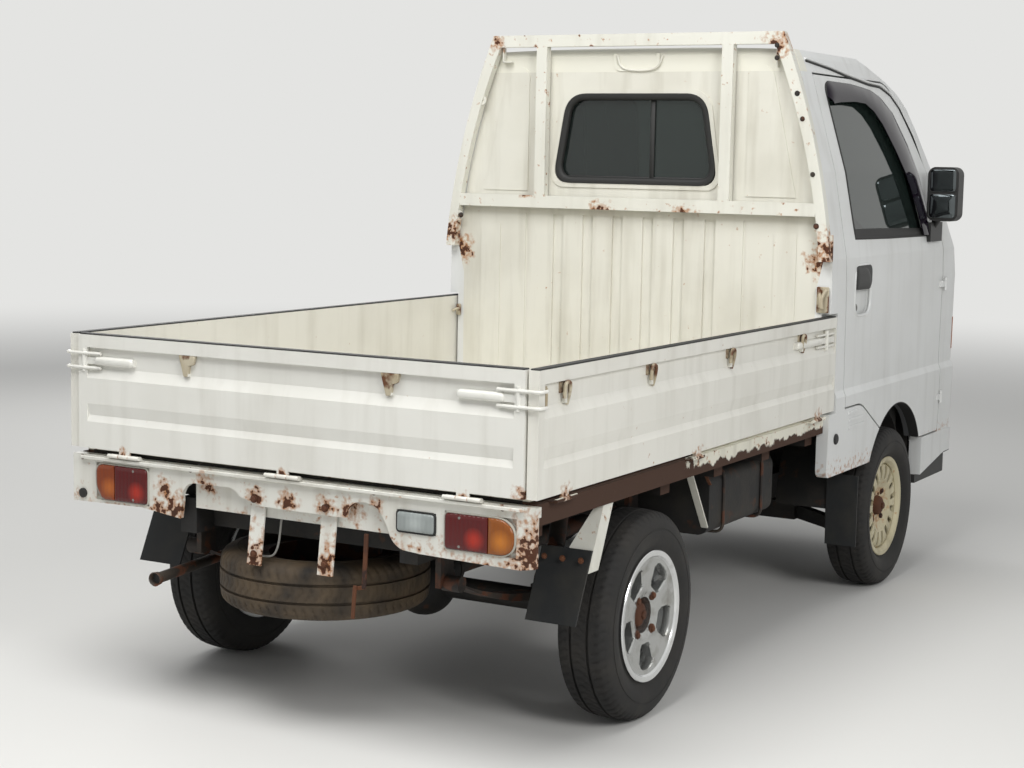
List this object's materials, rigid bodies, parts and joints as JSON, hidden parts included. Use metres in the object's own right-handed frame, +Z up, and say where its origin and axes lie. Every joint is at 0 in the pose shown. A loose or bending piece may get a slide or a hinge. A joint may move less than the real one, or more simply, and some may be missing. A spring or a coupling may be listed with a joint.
{
  "type": "kei truck",
  "caption": "Small cab-over pickup truck with opening doors, drop-side bed with hinged gates, guard frame behind the cab, steered front wheels and a spare wheel under the bed.",
  "frame": {"origin": "on the ground, in the middle of the overall length and width", "axes": "+X to the truck's left, +Y to its rear, +Z up"},
  "size_m": [1.568, 3.295, 1.8289],
  "materials": {
    "outer_paint": "cool white enamel, gloss",
    "bed_paint": "creamy white enamel, worn",
    "dark_steel": "black underseal",
    "black_plastic": "grained black plastic",
    "window_glass": "dark tinted glass",
    "tyre": "worn tyre rubber",
    "wheel_paint": "cream enamel",
    "wheel_alloy": "cast alloy, silver lacquer",
    "lamp_lens": "moulded lens",
    "front_lens": "clear lens",
    "seat_cover": "dark seat cloth",
    "engine_metal": "cast engine block",
    "exhaust_metal": "scaled steel",
    "flap_rubber": "moulded rubber sheet",
    "gate_paint": "white enamel, chipped"
  },
  "bodies": {
    "root": {"roof": "outer_paint", "cab_front": "outer_paint", "cab_back_wall": "bed_paint", "cab_side_left": "outer_paint", "cab_side_right": "outer_paint", "cab_floor": "dark_steel", "windscreen": "window_glass", "rear_window": "window_glass", "front_bumper": "outer_paint", "front_lamps": "front_lens", "dashboard": "black_plastic", "steering_wheel": "black_plastic", "seat_left": "seat_cover", "seat_right": "seat_cover", "chassis_frame": "dark_steel", "front_suspension": "dark_steel", "rear_axle": "dark_steel", "rear_springs": "dark_steel", "engine_block": "engine_metal", "propeller_shaft": "dark_steel", "fuel_tank": "dark_steel", "exhaust": "exhaust_metal", "bed": "bed_paint", "rear_panel": "outer_paint", "tail_lamps": "lamp_lens", "guard_frame": "bed_paint", "spare_tyre": "tyre", "spare_carrier": "dark_steel", "mud_flaps": "flap_rubber", "flap_brackets": "bed_paint"},
    "knuckle_left": {"knuckle_left": "dark_steel"},
    "wheel_front_left": {"tyre_front_left": "tyre", "rim_front_left": "wheel_paint"},
    "wheel_rear_left": {"tyre_rear_left": "tyre", "rim_rear_left": "wheel_alloy"},
    "door_left": {"door_left": "outer_paint", "door_glass_left": "window_glass", "door_fittings_left": "black_plastic"},
    "side_gate_left": {"side_gate_left": "gate_paint"},
    "knuckle_right": {"knuckle_right": "dark_steel"},
    "wheel_front_right": {"tyre_front_right": "tyre", "rim_front_right": "wheel_paint"},
    "wheel_rear_right": {"tyre_rear_right": "tyre", "rim_rear_right": "wheel_alloy"},
    "door_right": {"door_right": "outer_paint", "door_glass_right": "window_glass", "door_fittings_right": "black_plastic"},
    "side_gate_right": {"side_gate_right": "gate_paint"},
    "tailgate": {"tailgate": "gate_paint"}
  },
  "joints": [
    {"name": "steering_left", "type": "hinge", "parent": "root", "child": "knuckle_left", "pos_m": [0.585, -0.884, 0.165], "axis": [-0.292, 0, 0.9564], "range_deg": [-33, 33]},
    {"name": "front_wheel_left_spin", "type": "hinge", "parent": "knuckle_left", "child": "wheel_front_left", "pos_m": [0.6145, -0.884, 0.271], "axis": [1, 0, 0], "continuous": true},
    {"name": "rear_wheel_left_spin", "type": "hinge", "parent": "root", "child": "wheel_rear_left", "pos_m": [0.6145, 1.001, 0.271], "axis": [1, 0, 0], "continuous": true},
    {"name": "door_left_hinge", "type": "hinge", "parent": "root", "child": "door_left", "pos_m": [0.698, -1.383, 0.8], "axis": [0, 0, -1], "range_deg": [0, 65]},
    {"name": "side_gate_left_hinge", "type": "hinge", "parent": "root", "child": "side_gate_left", "pos_m": [0.6925, 0.7, 0.6505], "axis": [0, 1, 0], "range_deg": [0, 180]},
    {"name": "steering_right", "type": "hinge", "parent": "root", "child": "knuckle_right", "pos_m": [-0.585, -0.884, 0.165], "axis": [0.292, 0, 0.9564], "range_deg": [-33, 33]},
    {"name": "front_wheel_right_spin", "type": "hinge", "parent": "knuckle_right", "child": "wheel_front_right", "pos_m": [-0.6145, -0.884, 0.271], "axis": [1, 0, 0], "continuous": true},
    {"name": "rear_wheel_right_spin", "type": "hinge", "parent": "root", "child": "wheel_rear_right", "pos_m": [-0.6145, 1.001, 0.271], "axis": [1, 0, 0], "continuous": true},
    {"name": "door_right_hinge", "type": "hinge", "parent": "root", "child": "door_right", "pos_m": [-0.698, -1.383, 0.8], "axis": [0, 0, 1], "range_deg": [0, 65]},
    {"name": "side_gate_right_hinge", "type": "hinge", "parent": "root", "child": "side_gate_right", "pos_m": [-0.6925, 0.7, 0.6505], "axis": [0, -1, 0], "range_deg": [0, 180]},
    {"name": "tailgate_hinge", "type": "hinge", "parent": "root", "child": "tailgate", "pos_m": [0, 1.6425, 0.6505], "axis": [-1, 0, 0], "range_deg": [0, 180]}
  ],
  "couplings": [
    {"joint": "steering_right", "follows": "steering_left", "ratio": 1}
  ]
}
